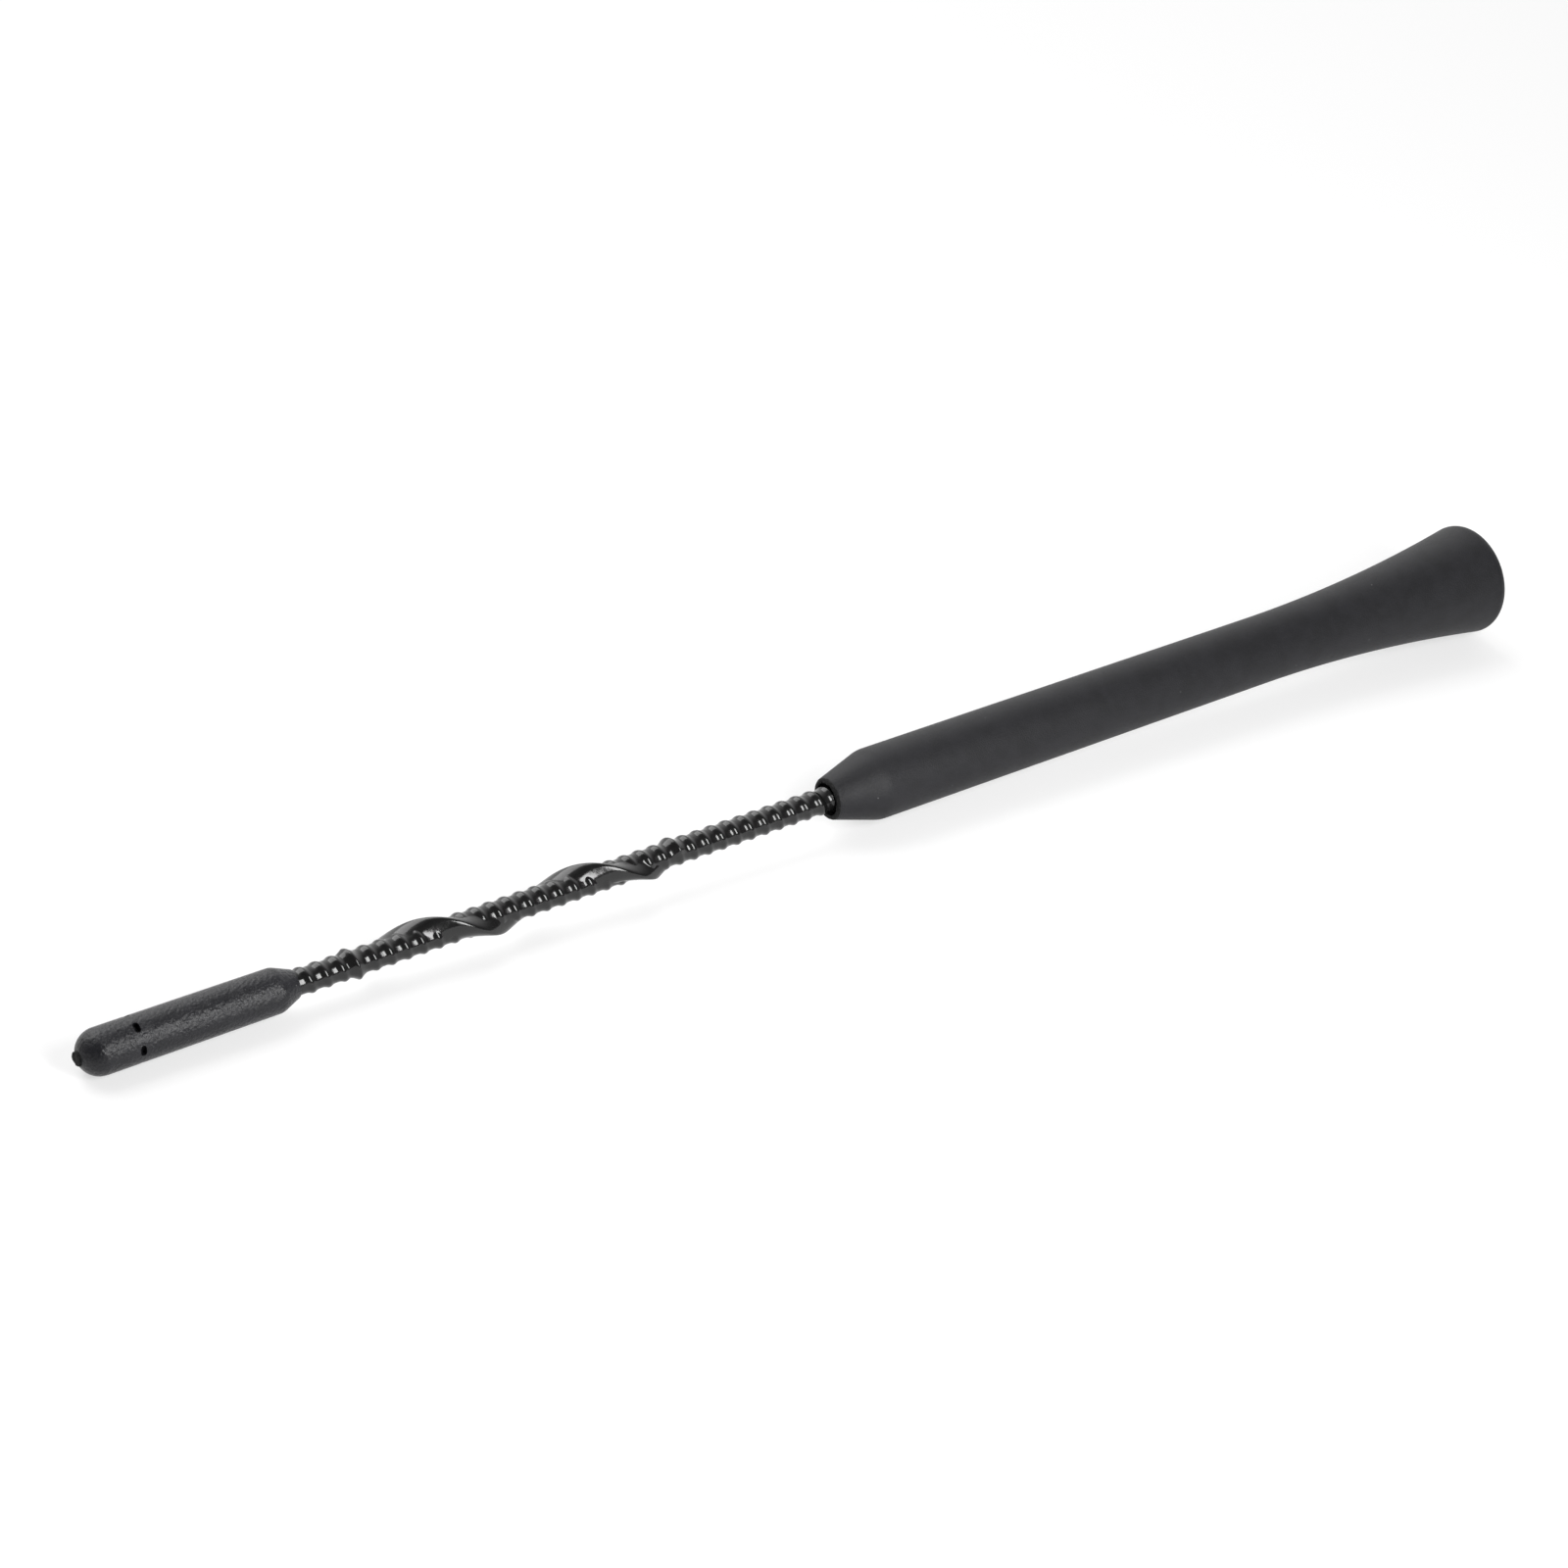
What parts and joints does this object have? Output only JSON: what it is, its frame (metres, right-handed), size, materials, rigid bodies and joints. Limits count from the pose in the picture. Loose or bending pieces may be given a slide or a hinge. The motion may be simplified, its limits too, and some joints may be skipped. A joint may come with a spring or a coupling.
{
  "type": "car mast aerial",
  "caption": "Screw-on car roof aerial: flared matte grip sleeve, glossy ribbed mast with a raised spiral, domed tip cap and a threaded brass socket in the foot.",
  "frame": {"origin": "centre of the foot's flat end, which meets the car", "axes": "+Z along the mast from the foot to the tip; +X and +Y are across it"},
  "size_m": [0.0162, 0.0162, 0.2297],
  "materials": {
    "sleeve_plastic": "fine matte moulded black",
    "socket_brass": "turned brass",
    "glass_fibre": "resin-bound glass fibre",
    "copper_wire": "enamelled copper",
    "glossy_skin": "glossy black shrunk skin",
    "cap_plastic": "fine matte moulded black"
  },
  "bodies": {
    "root": {"base_sleeve": "sleeve_plastic", "threaded_socket": "socket_brass", "core_rod": "glass_fibre", "antenna_winding": "copper_wire", "mast_sheath": "glossy_skin", "tip_cap": "cap_plastic"}
  },
  "joints": []
}
